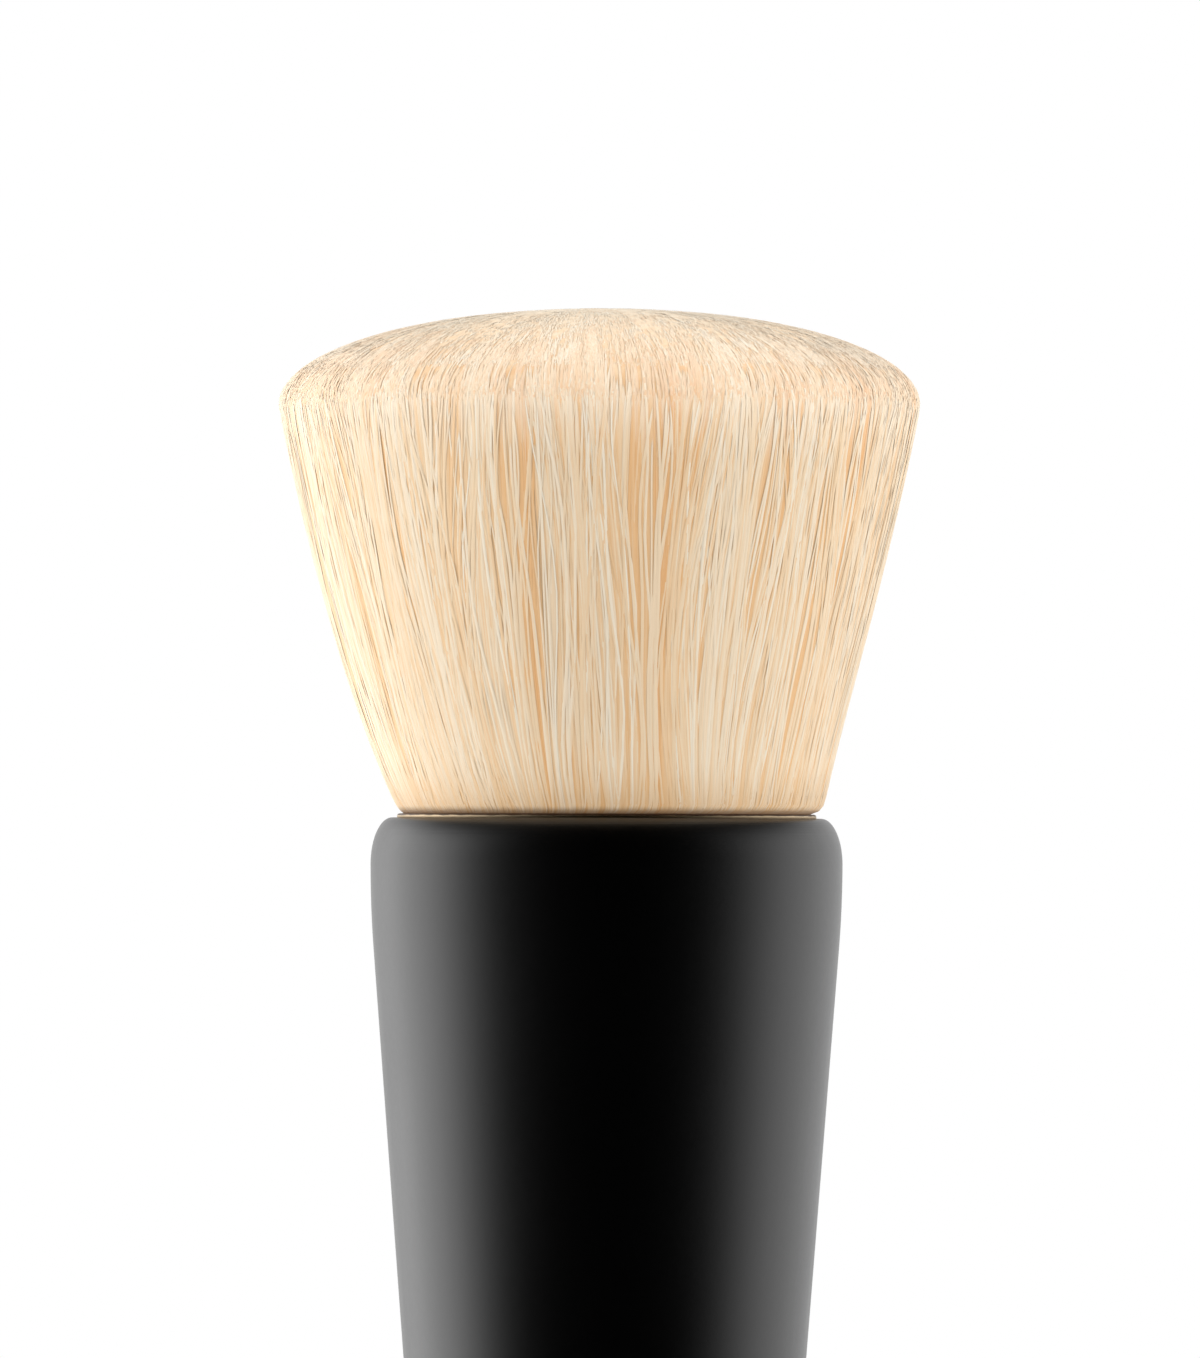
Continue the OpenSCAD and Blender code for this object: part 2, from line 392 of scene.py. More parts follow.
def add_floor():
    """Rings of points around the origin, their radii in even steps, with a fan to the middle. The
    rings grow instead of climbing, so their quads are turned over."""
    radii = floor_r * np.arange(1, floor_rings + 1) / floor_rings
    flat = radii[:, None, None] * circle(floor_sides)
    rings = np.dstack([flat, np.zeros(flat.shape[:2])]).reshape(-1, 3)
    faces = [ring_quads(floor_rings, floor_sides)[:, ::-1], fan(floor_sides, 0, len(rings))]
    floor = new_piece("floor", new_mesh("floor", np.vstack([rings, [0, 0, 0]]), faces), floor_material())
    return floor


floor = add_floor()
print(f"floor {2 * floor_r} m across, {len(floor.data.polygons)} faces")

# %% [markdown]
# ## The tuft
# A real tuft holds tens of thousands of hairs, tied at the root and shaken into a dome before
# they are glued. Blender's own hair can't be exported as a mesh of the piece, and a picture of
# hair on a smooth dome looks painted. Packed hairs hide all but the outermost tenth of a
# millimetre of each other, so the middle of the bundle is one closed core, and everything above
# it is grown hair by hair: a packed layer that leans as one, a loose veil that waves and crosses,
# and the tips of the dome.
#
# The shape that they fill is one formula for the flank and one for the dome. Every hair and the
# core follow it, so a change of a size moves them all.

# %% Outline of the flank
root_h = -2.65 * mm
rim_r = 10.15 * mm
foot_r = 10.57 * mm
bulge_h = 0.18 * mm
cone_slope = 0.115
widest_r = head_r + 0.15 * mm
flare_share = 0.27
lean_start, lean_end, lean_rise_h = 0.22 * mm, -0.45 * mm, 4.5 * mm


def outline_r(h):
    """Radius of the tuft at a height above the rim. Below the rim it follows the ferrule's cone. Above
    it, the hairs bulge out over the edge, and the tuft grows from there to the widest line along
    rise * (1 + flare_share * (1 - rise)), so it widens fastest at the rim."""
    up = np.maximum(h, 0)
    rise = up / widest_h
    flare = foot_r + (widest_r - foot_r) * rise * (1 + flare_share * (1 - rise))
    return flare - (foot_r - rim_r) * np.exp(-up / bulge_h) + cone_slope * np.minimum(h, 0)


def lean_x(h):
    """How far the tuft leans to the right at a height: it starts a little to the right, and
    settles to the left with an exponential. Inside the ferrule it has no lean."""
    up = np.maximum(h, 0)
    lean = lean_end + (lean_start - lean_end) * np.exp(-up / lean_rise_h)
    return lean * (1 - np.exp(-up / bulge_h))


for h in (root_h, 0, widest_h / 2, widest_h):
    print(f"{h / mm:6.2f} mm above the rim: radius {outline_r(h) / mm:.2f} mm, lean {lean_x(h) / mm:.2f} mm")

# %% Outline of the dome
crown_rise = 0.01 * mm
dome_power = 2.075
dome_tilt = 0.005
dome_steps = 16
dome_facing, facing_power, turn_h = 0.8, 1.5, 3 * mm
least_out = 1e-6


def dome_base(places):
    """Height of the widest line, tilted a little, at places on a disc of radius 1."""
    return widest_h + dome_tilt * widest_r * places[..., 0]


def dome_r(h, base):
    """Radius of the dome at heights above its base: a superellipse, reach ** power + rise ** power = 1."""
    rise = np.clip((h - base) / (dome_h + crown_rise), 0, 1)
    return widest_r * (1 - rise**dome_power) ** (1 / dome_power)


def dome_height(places):
    """Height at which hairs meet the dome. A hair goes on leaning out above the widest line, so the
    height is found by stepping halfway towards it again and again."""
    out = np.linalg.norm(places, axis=1)
    base = dome_base(places)
    h = base
    for _ in range(dome_steps):
        reach = np.minimum(out * outline_r(h) / widest_r, 1)
        h = (h + base + (dome_h + crown_rise) * (1 - reach**dome_power) ** (1 / dome_power)) / 2
    return h


def surface_normal(outward, h):
    """The direction in which the tuft's surface faces at a height, for unit vectors outwards. Its part
    out is the root of 1 - rise squared, with rise from 0 at turn_h below the widest line to 1 at the
    crown. Its part up is a little below level on the flank and grows as a power of rise, slowly at
    first, because the hairs there still show their sides."""
    rise = np.clip((h - widest_h + turn_h) / (dome_h + turn_h), 0, 1)
    flank_slope = (widest_r - foot_r) / widest_h
    out = np.sqrt(1 - rise**2) + least_out
    up = dome_facing * rise**facing_power - flank_slope * (1 - rise)
    return np.dstack([outward[:, :1] * out, outward[:, 1:] * out, up]) / np.hypot(out, up)[..., None]


halfway = dome_height(np.array([[0.5, 0.0]]))[0]
print(f"a hair halfway out meets the dome {halfway / mm:.2f} mm above the rim")

# %% [markdown]
# ### The core
# The core stands for the packed middle of the bundle, which shows only as the ground between
# hairs. It has the shape of the tuft, a little smaller, and lies closest under the short tips of
# the dome. A solid of revolution would do, but its colour has to follow the hairs, so it gets two
# layouts: a map that goes round it and up, like the hairs' own, and each point's place on the
# disc in which the hairs are sown, so that streaks climb with them and meet at the crown.

# %% Rings of the core
core_depth, core_depth_over, core_over_share = 0.08 * mm, 0.045 * mm, 0.35
core_share_up = 0.88
core_sides = 256
core_levels_in, core_levels_up, core_levels_over = 8, 52, 40
core_crowding = 1.5
rim_share = 0.1


def core_rings():
    """Points (ring, side, 3), their places on the disc, and the rings' places up the map. Up the flank
    a ring has the outline's radius, less core_depth. Over the dome, a climb goes from 0 to a right
    angle, and reach = cos(climb) ** (2 / power) is the ring's share of the radius and
    rise = sin(climb) ** (2 / power) its share of the height, which keeps to the superellipse. The
    depth under the hairs shrinks from core_depth to core_depth_over as the dome begins."""
    flank_h = np.concatenate([
        np.linspace(root_h, 0, core_levels_in, endpoint=False),
        np.linspace(0, 1, core_levels_up) ** core_crowding * widest_h,
    ])
    climb = np.linspace(0, np.pi / 2, core_levels_over + 1)[1:-1]
    reach, rise = np.cos(climb) ** (2 / dome_power), np.sin(climb) ** (2 / dome_power)
    depth = np.interp(rise, [0, core_over_share], [core_depth, core_depth_over])
    places = np.append(np.ones(len(flank_h)), reach)[:, None, None] * circle(core_sides)
    over_h = dome_base(places[len(flank_h):]) + ((dome_h + crown_rise - depth) * rise)[:, None]
    h = np.vstack([np.repeat(flank_h[:, None], core_sides, 1), over_h])
    radius = np.append(outline_r(flank_h) - core_depth, reach * (widest_r - depth))
    flat = radius[:, None, None] * circle(core_sides)
    flat[..., 0] += lean_x(np.append(flank_h, np.full(len(climb), widest_h)))[:, None]
    v = np.interp(flank_h, [root_h, 0, widest_h], [0, rim_share, core_share_up])
    v = np.append(v, np.linspace(core_share_up, 1, core_levels_over)[1:])
    return np.dstack([flat, rim_z + h]), places, v


print(f"core: {len(core_rings()[0])} rings of {core_sides} points")

# %% Core
uv_name = "OFBake"
disc_name = "place on the disc"


def ring_map(sides, v):
    """Map of what ring_quads makes, as (quad, corner, 2): u goes round from 0 to 1, v is given per ring."""
    u = np.tile(np.arange(sides), len(v) - 1)[:, None] + np.array([0, 1, 1, 0])
    low, high = np.repeat(v[:-1], sides), np.repeat(v[1:], sides)
    return np.stack([u / sides, np.stack([low, low, high, high], 1)], -1)


def fan_map(sides, ring_v, pole_v):
    """Map of what fan makes: the pole's u is halfway between those of its two neighbours."""
    u = np.arange(sides)[:, None] + np.array([0, 1, 0.5])
    return np.stack([u / sides, np.tile([ring_v, ring_v, pole_v], (sides, 1))], -1)


def set_map(mesh, layouts):
    """Gives a mesh its map, which the export bakes into, from one layout for each array of its faces."""
    uv = mesh.uv_layers.new(name=uv_name)
    uv.data.foreach_set("uv", np.vstack([p.reshape(-1, 2) for p in layouts]).astype(np.float32).ravel())


def core_mesh():
    """The rings joined by quads, with a fan to the middle of the first and of the last. The first
    fan has two corners swapped, so that it faces down."""
    rings, places, v = core_rings()
    swapped = [1, 0, 2]
    first_pole = rings[..., 0].size
    last_ring, last_pole = first_pole - core_sides, first_pole + 1
    faces = [
        ring_quads(len(rings), core_sides),
        fan(core_sides, 0, first_pole)[:, swapped],
        fan(core_sides, last_ring, last_pole),
    ]
    points = np.vstack([rings.reshape(-1, 3), rings[0].mean(0), rings[-1].mean(0)])
    mesh = new_mesh("core", points, faces)
    facing = surface_normal(circle(core_sides), rings[..., 2].T - rim_z).transpose(1, 0, 2)
    facing = np.vstack([facing.reshape(-1, 3), [0, 0, -1], [0, 0, 1]])
    mesh.normals_split_custom_set_from_vertices(facing)
    on_disc = np.zeros((len(points), 3), np.float32)
    on_disc[:first_pole, :2] = places.reshape(-1, 2)
    mesh.attributes.new(disc_name, "FLOAT_VECTOR", "POINT").data.foreach_set("vector", on_disc.ravel())
    foot = fan_map(core_sides, 0, 0)[:, swapped]
    set_map(mesh, [ring_map(core_sides, v), foot, fan_map(core_sides, 1, 1)])
    return mesh


print(f"the core's map: rim at {rim_share}, widest line at {core_share_up}, crown at 1")

# %% [markdown]
# ### Where the hairs stand
# Hairs are sown on a disc of radius 1, the cross-section of the bundle. A hair keeps its place
# while the disc widens with the outline, which is what combing a bundle does, so hairs never
# tangle. Where it meets the dome it bends over and lies along it for a little while, because the
# tuft was shaken into a cup.
#
# Neighbours come from the same handful of hair and share a tone. Grids of random tones over the
# disc give every place one, and the hairs that stand there carry it up as a streak.

# %% Middle lines
rng = np.random.default_rng(2811)
sway_start_h = 8 * mm
bend_h = 0.04 * mm
least_reach = 0.004 * mm
lie_crowding = 1.5


def sown(turn, out):
    """Places on the disc at angles and distances from its middle."""
    return np.stack([np.cos(turn), np.sin(turn)], -1) * out[:, None]


def cut_height(places, lie_share, short_h, short_share):
    """Heights of the tips: where a hair meets the dome, plus a random part, up to lie_share, of what is
    left to the crown, and for a share of them less up to short_h."""
    count = len(places)
    meets, crown = dome_height(places), dome_base(places) + dome_h + crown_rise
    short = short_h * rng.random(count) * (rng.random(count) < short_share)
    return meets + (crown - meets) * lie_share * rng.random(count) ** lie_crowding - short


def middle_lines(places, h, aside, under):
    """Points of the hairs' middle lines at heights h (hair, level). A point's distance from the axis is
    the smaller of two, that of its place on the widening disc and that of the dome less under, with
    the corner between them rounded over bend_h. It shifts sideways by aside, round the axis, which
    keeps the tuft's outline even."""
    out = np.linalg.norm(places, axis=1)[:, None]
    sideways = np.stack([-places[:, 1], places[:, 0]], -1) / out
    straight = out * outline_r(h)
    over = dome_r(h, dome_base(places)[:, None]) - under[:, None]
    bend = bend_h * np.log1p(np.exp(-np.abs(straight - over) / bend_h))
    reach = np.maximum(np.minimum(straight, over) - bend, least_reach)
    flat = places[:, None, :] / out[..., None] * reach[..., None]
    flat = flat + aside[..., None] * sideways[:, None, :]
    flat *= (reach / np.linalg.norm(flat, axis=2))[..., None]
    flat[..., 0] += lean_x(h)
    return np.dstack([flat, rim_z + h])


def past_rim(h):
    """0 in the ferrule, and up to 1 within a few sway_start_h above it."""
    return 1 - np.exp(-np.maximum(h, 0) / sway_start_h)


print(f"5 mm above the rim a hair sways {past_rim(5 * mm):.2f} of the way that it may")

# %% Tones
tone_middle = 0.42
tone_patches = [(0.4 * mm, 0.3), (1.6 * mm, 0.22)]  # width, strength
edge_margin = 0.001


def tone_grid(width, strength):
    """Random tones on a square grid over the disc, one about every width."""
    cells = 2 * round(head_r / width) + 2
    return rng.uniform(-strength, strength, (cells, cells))


tone_grids = [tone_grid(width, strength) for width, strength in tone_patches]


def tone_at(places):
    """Tones over the disc: each grid is blended from one number to the next along x and y, and the
    grids are added up."""
    tone = tone_middle
    for grid in tone_grids:
        spot = (places + 1) / 2 * (len(grid) - 1 - edge_margin)
        cell = spot.astype(int)
        (x, y), (i, j) = (spot - cell).T, cell.T
        low = grid[i, j] * (1 - x) + grid[i + 1, j] * x
        high = grid[i, j + 1] * (1 - x) + grid[i + 1, j + 1] * x
        tone = tone + low * (1 - y) + high * y
    return tone


print("tone grids:", [grid.shape for grid in tone_grids])

# %% [markdown]
# ### The packed layer
# The outermost hairs of the bundle lean together, because their neighbours hold them. They stand
# on the edge of the disc, so they form the flank. Waves round the tuft, which lean as they climb,
# give them a shift that neighbours share, and each strays from it by a small angle of its own.

# %% Packed hairs
packed_count = 6400
packed_deep, packed_shallow = 0.9955, 0.9975
packed_r_low, packed_r_high = 0.06 * mm, 0.115 * mm
# deeper packed hairs get a darker tone: painted shade
packed_depth_shade, packed_uneven = 0.15, 0.07
packed_stray = math.radians(1.2)
flow_waves = [  # waves round the tuft, amplitude, height in which one climbs
    (7, 0.50 * mm, 60 * mm),
    (16, 0.32 * mm, -45 * mm),
    (29, 0.20 * mm, 30 * mm),
    (47, 0.13 * mm, -24 * mm),
    (73, 0.09 * mm, 19 * mm),
]


def flow(turn, h):
    """Sideways shift that neighbours share: a sum of waves round the tuft, which lean as they climb."""
    return sum(
        size * np.sin(count * turn[:, None] + 2 * np.pi * h / climb) for count, size, climb in flow_waves
    )


packed_turn = rng.uniform(0, 2 * np.pi, packed_count)
packed_depth = rng.random(packed_count)
packed_places = sown(packed_turn, packed_shallow + (packed_deep - packed_shallow) * packed_depth)
packed_slope = np.tan(rng.normal(0, packed_stray, packed_count))


def packed_shift(some, h):
    """The shared shift and the slope of each hair's own stray."""
    return past_rim(h) * (flow(packed_turn[some], h) + packed_slope[some, None] * h)


packed = {
    "places": packed_places,
    "thickness": rng.uniform(packed_r_low, packed_r_high, packed_count),
    "tone": (
        # painted shade: the deeper a packed hair lies, the darker its tone
        tone_at(packed_places) - packed_depth_shade * packed_depth
        + packed_uneven * rng.standard_normal(packed_count)
    ),
    "cut": (0.5, 1.5 * mm, 0.3),  # lie_share, short_h, short_share
    "under": (0, 0.04 * mm),
    "shift": packed_shift,
}
print(f"packed layer: {packed_count} hairs, mean tone {packed['tone'].mean():.2f}")

# %% [markdown]
# ### The veil
# The last hairs are held on one side only, so they wave and cross each other at small angles, in
# locks that pinch together at some height. The eye sees mostly these: cream lines over the tan of
# what lies deeper. They are thin and few, or they would hide the packed layer.

# %% Veil
veil_locks, hairs_per_lock = 260, 5
veil_deep = 0.998
veil_r_low, veil_r_high = 0.045 * mm, 0.1 * mm
# the veil is paler than the hairs beneath it: partly the hairs' own tone, partly painted shade on the deeper
# ones
veil_tone, lock_uneven, hair_uneven = 0.7, 0.2, 0.08
lock_sway, lock_wave_low, lock_wave_high = 0.25 * mm, 16 * mm, 30 * mm
hair_sway, hair_wave_low, hair_wave_high = 0.1 * mm, 8 * mm, 16 * mm
lock_width = 0.6 * mm
splay = math.radians(2.8)
pinch_low, pinch_high = 2 * mm, 24 * mm
veil_count = veil_locks * hairs_per_lock


def per_lock(low, high):
    """One random number per lock, given to all its hairs."""
    return np.repeat(rng.uniform(low, high, veil_locks), hairs_per_lock)


veil_turn = per_lock(0, 2 * np.pi) + rng.normal(0, lock_width / head_r, veil_count)
veil_slope = np.tan(rng.normal(0, splay, veil_count))
veil_pinch = per_lock(pinch_low, pinch_high)
lock_wave, lock_phase = per_lock(lock_wave_low, lock_wave_high), per_lock(0, 2 * np.pi)
hair_wave = rng.uniform(hair_wave_low, hair_wave_high, veil_count)
hair_phase = rng.uniform(0, 2 * np.pi, veil_count)


def veil_shift(some, h):
    """The slopes of a lock's hairs cross at its pinch, and a wave of the lock and one of the hair
    add to the shift that all neighbours share."""
    lock = lock_sway * np.sin(2 * np.pi * h / lock_wave[some, None] + lock_phase[some, None])
    hair = hair_sway * np.sin(2 * np.pi * h / hair_wave[some, None] + hair_phase[some, None])
    slopes = veil_slope[some, None] * (h - veil_pinch[some, None])
    return past_rim(h) * (flow(veil_turn[some], h) + slopes + lock + hair)


veil = {
    "places": sown(veil_turn, rng.uniform(veil_deep, 1, veil_count)),
    "thickness": rng.uniform(veil_r_low, veil_r_high, veil_count),
    "tone": (
        veil_tone + per_lock(-lock_uneven, lock_uneven)
        + hair_uneven * rng.standard_normal(veil_count)
    ),
    "cut": (0.55, 2.5 * mm, 0.5),  # lie_share, short_h, short_share
    "under": (0, 0.02 * mm),
    "shift": veil_shift,
}
print(f"veil: {veil_count} hairs in {veil_locks} locks")

# %% [markdown]
# ### The dome
# Inside the edge, only the last few tenths of a millimetre of a hair ever show. So the hairs of
# the dome are grown from just under the surface, tens of thousands of them at the cost of a few
# faces each. They stand closer together towards the edge, where one looks along the surface, and
# get paler towards the crown, where one looks at the ends of the hairs.

# %% Tips of the dome
tip_count = 44000
tip_crowding = 2.0
tip_r_low, tip_r_high = 0.05 * mm, 0.1 * mm
tips_reach = 0.93
tip_paler, tip_uneven = 0.6, 0.16

tip_turn = rng.uniform(0, 2 * np.pi, tip_count)
tip_out = tips_reach * (1 - rng.random(tip_count) ** tip_crowding)
tip_places = sown(tip_turn, tip_out)
tip_slope = np.tan(rng.normal(0, splay, tip_count))


def tip_shift(some, h):
    """The shared shift, with the slopes of the hairs crossing at the widest line."""
    return flow(tip_turn[some], h) + tip_slope[some, None] * (h - widest_h)


tips = {
    "places": tip_places,
    "thickness": rng.uniform(tip_r_low, tip_r_high, tip_count),
    "tone": (
        tone_at(tip_places) + tip_paler * (1 - tip_out)
        + tip_uneven * rng.standard_normal(tip_count)
    ),
    "cut": (0.3, 0.1 * mm, 0.3),  # lie_share, short_h, short_share
    "under": (0, 0.03 * mm),
    "shift": tip_shift,
}
print(f"dome: {tip_count} tips, half of them past {np.median(tip_out):.2f} of the radius")

# %% [markdown]
# ### From lines to spikes
# Each hair gets three corners around its middle line at every ring, and one point at its tip.
# Round hairs cast hard shadows into the gaps between them, which draw as black lines. So the
# rings are flattened against the tuft, square to the way that the hair runs, and tilted a little
# at random: neighbours overlap like shingles, and the gaps between them stay soft.
#
# The map is laid out for colour and not for area: across it lies the tone of the hair, and up it
# the way from root to tip. One small picture then holds the colours of every hair.

# %% Cross-sections of the hairs
hair_sides = 3
flatness, flatter_over, tilt = 0.16, 0.5, math.radians(20)


def spokes(middle, outward, h):
    """Vectors from a middle line to the corners of its rings, (hair, level, corner, 3). A corner is the
    sine of its turn along the tangent, round the tuft, and the cosine times the flatness along the
    lift, which stands square to the hair in the plane through the axis: (step up, minus step out)."""
    count = len(middle)
    turn = rng.uniform(-tilt, tilt, (count, 1)) + np.arange(hair_sides) * 2 * np.pi / hair_sides
    step = np.gradient(middle, axis=1)
    step_out = (step[..., :2] * outward[:, None]).sum(2)
    lift = np.dstack([step[..., 2:] * outward[:, None], -step_out])
    lift /= np.hypot(step_out, step[..., 2])[..., None]
    tangent = np.column_stack([-outward[:, 1], outward[:, 0], np.zeros(count)])
    flat = flatness * (1 - flatter_over * np.clip((h - widest_h) / dome_h, 0, 1))
    out = flat[..., None] * np.cos(turn)[:, None]
    aside = np.sin(turn)[..., None] * tangent[:, None]
    return out[..., None] * lift[:, :, None] + aside[:, None]


print(f"a hair is {1 / flatness:.0f} times as wide as thick on the flank, and twice that at the crown")

# %% Spikes
roundness = 0.35
strip_width, foot_strip_h = 0.006, 0.002
thickness_shares = [(0, 0.8), (0.35, 1), (0.7, 1), (0.95, 0.85), (0.985, 0.65), (1, 0.45)]
strip_shares = np.array([[[0, 0], [0.5, 1], [1, 0]]])
foot_corners = np.array([[2, 1, 0]])


def spike_map(tone, level_shares):
    """A narrow strip of the map for each hair, at its tone, for quads, tip and foot in turn."""
    foot = level_shares[0] + foot_strip_h * strip_shares
    foot[..., 0] = strip_shares[..., 0]
    left = tone[:, None, None] * (1 - strip_width)
    layouts = [ring_map(hair_sides, level_shares[:-1]), fan_map(hair_sides, level_shares[-2], 1), foot]
    across = [left + strip_width * layout[..., 0] for layout in layouts]
    return [
        np.stack([u, np.broadcast_to(layout[..., 1], u.shape)], -1)
        for u, layout in zip(across, layouts)
    ]


def spikes(name, hairs, some, level_shares, material):
    """One mesh with a three-sided spike for each chosen hair, with a ring at each share of the way
    from its root to its tip but the last, which is its point. The way reaches the rim at rim_share.
    A corner's normal is the tuft's own, plus a little of its spoke, so that the tuft is shaded as
    one surface on which each hair is slightly round."""
    level_shares = np.array(level_shares)
    count, rings = len(some), len(level_shares) - 1
    places = hairs["places"][some]
    outward = places / np.linalg.norm(places, axis=1)[:, None]
    tips_h = cut_height(places, *hairs["cut"])[:, None]
    h = np.where(
        level_shares < rim_share,
        root_h * (1 - level_shares / rim_share),
        tips_h * (level_shares - rim_share) / (1 - rim_share),
    )
    middle = middle_lines(places, h, hairs["shift"](some, h), rng.uniform(*hairs["under"], count))
    spoke = spokes(middle, outward, h)[:, :-1]
    thickness = hairs["thickness"][some][:, None] * np.interp(level_shares[:-1], *zip(*thickness_shares))
    ring = middle[:, :-1, None] + thickness[..., None, None] * spoke
    points = np.concatenate([ring.reshape(count, -1, 3), middle[:, -1:]], 1)

    size = hair_sides * rings + 1
    start = (np.arange(count) * size)[:, None, None]
    one_hair = [ring_quads(rings, hair_sides), fan(hair_sides, size - 1 - hair_sides, size - 1), foot_corners]
    faces = [(start + corners).reshape(-1, corners.shape[1]) for corners in one_hair]
    mesh = new_mesh(name, points.reshape(-1, 3), faces)

    facing = surface_normal(outward, h)
    ring_facing = facing[:, :-1, None] + roundness * spoke
    normals = np.concatenate([ring_facing.reshape(count, -1, 3), facing[:, -1:]], 1).reshape(-1, 3)
    mesh.normals_split_custom_set_from_vertices(normals / np.linalg.norm(normals, axis=1)[:, None])
    set_map(mesh, spike_map(np.clip(hairs["tone"][some], 0, 1), level_shares))
    return new_piece(name, mesh, material)


print(f"the strip of one hair takes {strip_width:.1%} of the map's width")

# %% [markdown]
# ### The colour of the hair
# Pale blond hair is cream where light catches it and tan in the gaps. The gaps darken by
# themselves, because light that reaches them has met other hairs first, and deeper hairs are also
# given darker tones as painted shade. What the material adds is the range of tones from hair to
# hair, painted shade that darkens the hairs towards the ferrule, a dark line of painted shadow at
# the foot where the hairs bulge over the rim, and a paler tip. Hair shaders and light through the
# hair would be truer, but the export can't bake them, and a rough surface with a weak gloss looks
# much the same from a step away.

# %% Hair materials
tone_stops = [
    (0.0, srgb(240, 182, 124)),
    (0.3, srgb(245, 199, 147)),
    (0.6, srgb(249, 220, 182)),
    (1.0, srgb(253, 240, 218)),
]
# painted shade: the hairs darken towards the ferrule
root_shade_colour, root_shade_until, root_shade_strength = srgb(214, 170, 116), 0.22, 0.45
# painted shadow: a dark line at the foot, where the hairs bulge out over the rim
foot_shadow_colour, foot_shadow_until, foot_shadow_strength = srgb(92, 58, 34), 0.118, 0.75
tip_colour, tip_from, tip_strength = srgb(252, 240, 222), 0.85, 0.5
hair_finish = {"Roughness": 0.55, "Specular IOR Level": 0.18}
core_finish = {"Roughness": 0.6, "Specular IOR Level": 0.18}
streak_w, streak_h = 0.5 * mm, 12 * mm
streak_low, streak_high = 0.2, 0.9
core_tone_low, core_tone_range = 0.15, 0.5


def hair_colour(tree, tone, along):
    """The colour at a tone from 0 to 1 and a share of the way from root to tip."""
    colour = add(tree, "ShaderNodeValToRGB", {"stops": tone_stops}, {"Fac": tone})
    # painted shade that darkens the hairs towards the ferrule
    root_shade = (1 - along.between(rim_share, root_shade_until)) * root_shade_strength
    # painted shadow: a dark line right at the foot of the hairs
    foot_shadow = (1 - along.between(rim_share, foot_shadow_until)) * foot_shadow_strength
    near_tip = along.between(tip_from, 1.0) * tip_strength
    colour = mixed(tree, root_shade, colour, (*root_shade_colour, 1))
    colour = mixed(tree, foot_shadow, colour, (*foot_shadow_colour, 1))
    return mixed(tree, near_tip, colour, (*tip_colour, 1))


def hair_material():
    """Tone across the map, and the way from root to tip up it."""
    material, tree, out = new_material("blond_hair")
    tone, along, _ = parts(tree, add(tree, "ShaderNodeUVMap", {"uv_map": uv_name}))
    principled(tree, out, hair_finish, {"Base Color": hair_colour(tree, tone, along)})
    return material


def core_material():
    """Hair colour in streaks that run up the tuft: noise that is fine over the disc and long up the
    map, plus the paler tone towards the crown that the tips have too."""
    material, tree, out = new_material("packed_hair")
    along = parts(tree, add(tree, "ShaderNodeUVMap", {"uv_map": uv_name}))[1]
    disc = add(tree, "ShaderNodeAttribute", {"attribute_name": disc_name}, output="Vector")
    x, y, _ = parts(tree, disc)
    fine, tall = head_r / streak_w, crown_h / streak_h
    place = add(tree, "ShaderNodeCombineXYZ", None, {"X": x * fine, "Y": y * fine, "Z": along * tall})
    streak = noise(tree, place, 1.0).between(streak_low, streak_high)
    tone = streak * core_tone_range + core_tone_low + (1 - length(tree, disc)) * tip_paler
    principled(tree, out, core_finish, {"Base Color": hair_colour(tree, tone, along)})
    return material


hair, packed_hair = hair_material(), core_material()
print("hair materials:", hair.name, packed_hair.name)

# %% [markdown]
# ### Growing it
# Each layer is shared out over a few pieces, so that none gets too heavy to write out, and every
# n-th hair goes into the same piece, which mixes them evenly. Rings stand close together at the
# foot and over the dome, where the hairs bend, and wide apart on the flank. The packed layer and
# the veil start inside the ferrule, at the foot of the slice of glued roots that carries them.
# Together the pieces replace the solid that stands for the tuft.

# %% Grow the tuft
foot_shares = [0, rim_share, 0.108, 0.12]
bend_shares = [0.8, 0.85, 0.88, 0.905, 0.93, 0.955, 0.98, 1]
packed_shares = [*foot_shares, 0.15, 0.25, 0.4, 0.55, 0.7, *bend_shares]
veil_shares = [*foot_shares, 0.14, 0.19, 0.26, 0.34, 0.42, 0.5, 0.58, 0.66, 0.74, *bend_shares]
tip_shares = [0.9, 0.98, 0.996, 1]
layers = [  # name, hairs, shares of the way at which rings stand, pieces
    ("packed_hairs", packed, packed_shares, 4),
    ("veil", veil, veil_shares, 2),
    ("dome_tips", tips, tip_shares, 5),
]
tuft = [new_piece("core", core_mesh(), packed_hair)]
for name, hairs, level_shares, pieces in layers:
    for i in range(pieces):
        some = np.arange(i, len(hairs["places"]), pieces)
        tuft.append(spikes(f"{name}_{i + 1}", hairs, some, level_shares, hair))
for piece in tuft:
    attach(piece, "root")
    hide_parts("bristles")
    print(piece.name, len(piece.data.loops) - 2 * len(piece.data.polygons), "triangles")
light_only(lamps, tuft)

# %% [markdown]
# ## Finishes of the solid pieces
# The solids keep their meshes and get their finish through their material slots. The handle is
# turned wood under a soft matte black lacquer: almost no colour of its own, so its form is told
# by a broad dull sheen. Sprayed lacquer is never quite even, so its gloss drifts in clouds, and a
# fine grain breaks up the reflection.

# %% Lacquer
lacquer_black = (0.002, 0.002, 0.0022, 1)
lacquer_gloss = 0.68
lacquer_rough, cloud_rough, grain_rough = 0.35, 0.06, 0.05
cloud_w, grain_w = 9 * mm, 0.35 * mm
grain_roughness, grain_strength, grain_h = 0.6, 0.12, 0.02 * mm


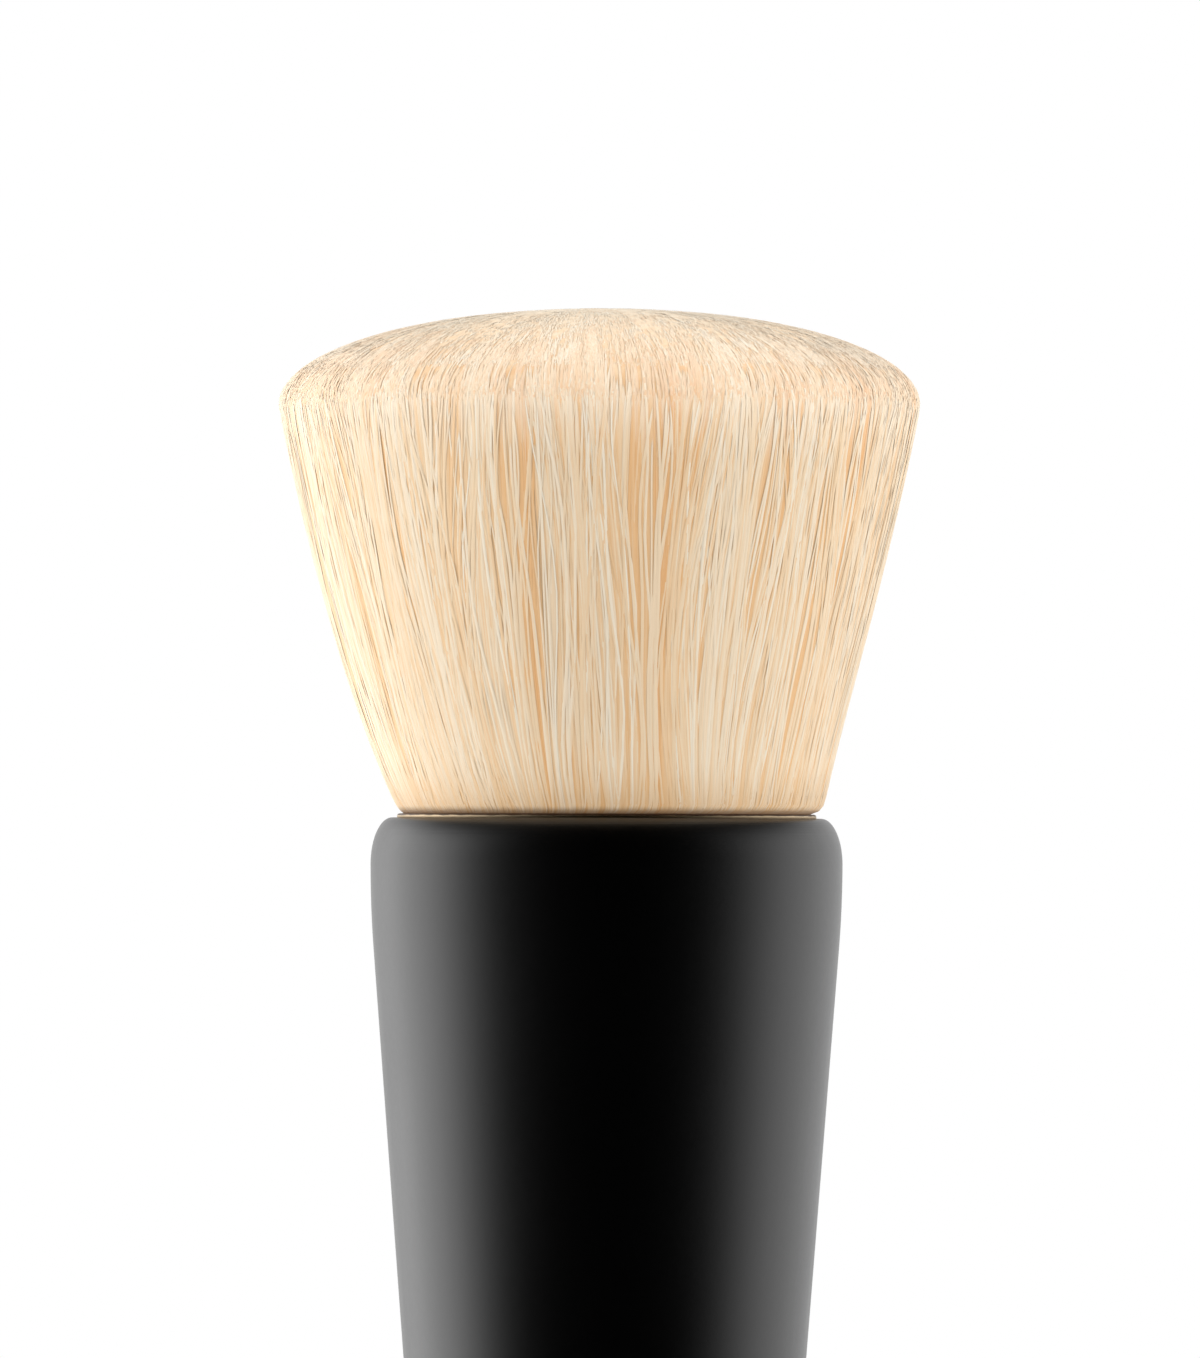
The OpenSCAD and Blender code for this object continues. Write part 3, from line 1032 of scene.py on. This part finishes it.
def lacquer_material():
    """Roughness is a level plus a share of each noise, and the grain is also a bump."""
    material, tree, out = new_material("matte_lacquer")
    place = object_place(tree)
    cloud = noise(tree, place, cloud_w)
    grain = noise(tree, place, grain_w, roughness=grain_roughness)
    relief = {"Strength": grain_strength, "Distance": grain_h, "Height": grain}
    roughness = lacquer_rough + (cloud - 0.5) * cloud_rough + (grain - 0.5) * grain_rough
    bump = add(tree, "ShaderNodeBump", None, relief, output="Normal")
    constants = {"Base Color": lacquer_black, "Specular IOR Level": lacquer_gloss}
    principled(tree, out, constants, {"Roughness": roughness, "Normal": bump})
    return material


lacquer = lacquer_material()
print(f"{lacquer.name}: roughness about {lacquer_rough}")

# %% [markdown]
# The ferrule is a drawn tube in a satin champagne tone. Only its cut edge and the last fraction
# of a millimetre below it show, so what matters there is a dark line of painted shadow at the top
# of the metal, where the hairs bulge out over the rim. Its lower limit wanders with noise.

# %% Ferrule metal
# painted shadow along the top of the rim, where the hairs overhang it: its height and wander
rim_shadow_h, shadow_drift_h = 0.08 * mm, 0.1 * mm
shadow_low_share, shadow_high_share = 1.3, 0.9
scuff_w, shadow_drift_w = 0.6 * mm, 0.9 * mm
# the dark brown is painted shadow at the top of the rim
metal_colour, rim_shadow_colour = srgb(205, 184, 152), srgb(96, 70, 48)
metal_rough, scuff_rough = 0.5, 0.2


def metal_material():
    """The share of painted shadow goes from 0 to 1 between two heights just under the rim, which noise
    moves up and down. The metal fades out as it comes in."""
    material, tree, out = new_material("champagne_metal")
    place = object_place(tree)
    scuff = noise(tree, place, scuff_w)
    shadow_drift = noise(tree, place, shadow_drift_w)
    z = parts(tree, place)[2] - (shadow_drift - 0.5) * shadow_drift_h
    # painted shadow: a dark band at the top of the rim, not metallic, under the overhanging hairs
    rim_shadow_share = z.between(rim_z - shadow_low_share * rim_shadow_h, rim_z - shadow_high_share * rim_shadow_h)
    colour = mixed(tree, rim_shadow_share, (*metal_colour, 1), (*rim_shadow_colour, 1))
    roughness = metal_rough + (scuff - 0.5) * scuff_rough
    principled(tree, out, {}, {"Base Color": colour, "Roughness": roughness, "Metallic": 1 - rim_shadow_share})
    return material


metal = metal_material()
print(f"{metal.name}: dark edge about {rim_shadow_h / mm} mm high")

# %% [markdown]
# What holds the brush together is hidden, but someone may cut the model open. The glue between
# ferrule and handle is a dull cream, that around the roots is amber and cloudy, and the binding
# thread is undyed and waxed, with fibres a good deal finer than its turns.

# %% Glue and thread
glue_w, glue_low, glue_high, glue_rough = 1.5 * mm, 0.3, 0.7, 0.35
fibre_w, thread_rough = 0.15 * mm, 0.7
thread_dark, thread_pale = srgb(214, 205, 184), srgb(240, 234, 220)


def glue_material(name, pale, deep):
    """Clouds of a pale and a deep tone of one colour."""
    material, tree, out = new_material(name)
    cloud = noise(tree, object_place(tree), glue_w).between(glue_low, glue_high)
    colour = mixed(tree, cloud, (*deep, 1), (*pale, 1))
    principled(tree, out, {"Roughness": glue_rough}, {"Base Color": colour})
    return material


def thread_material():
    """Fine noise between two tones."""
    material, tree, out = new_material("waxed_thread")
    fibre = noise(tree, object_place(tree), fibre_w)
    colour = mixed(tree, fibre, (*thread_dark, 1), (*thread_pale, 1))
    principled(tree, out, {"Roughness": thread_rough}, {"Base Color": colour})
    return material


finishes = {
    "handle": lacquer,
    "ferrule": metal,
    "ferrule_adhesive": glue_material("handle_glue", srgb(224, 214, 186), srgb(198, 184, 150)),
    "root_adhesive": glue_material("root_glue", srgb(186, 140, 84), srgb(150, 104, 56)),
    "binding_thread": thread_material(),
}
for node, material in finishes.items():
    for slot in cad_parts[node].material_slots:
        slot.material = material
    print(node, "gets", material.name)
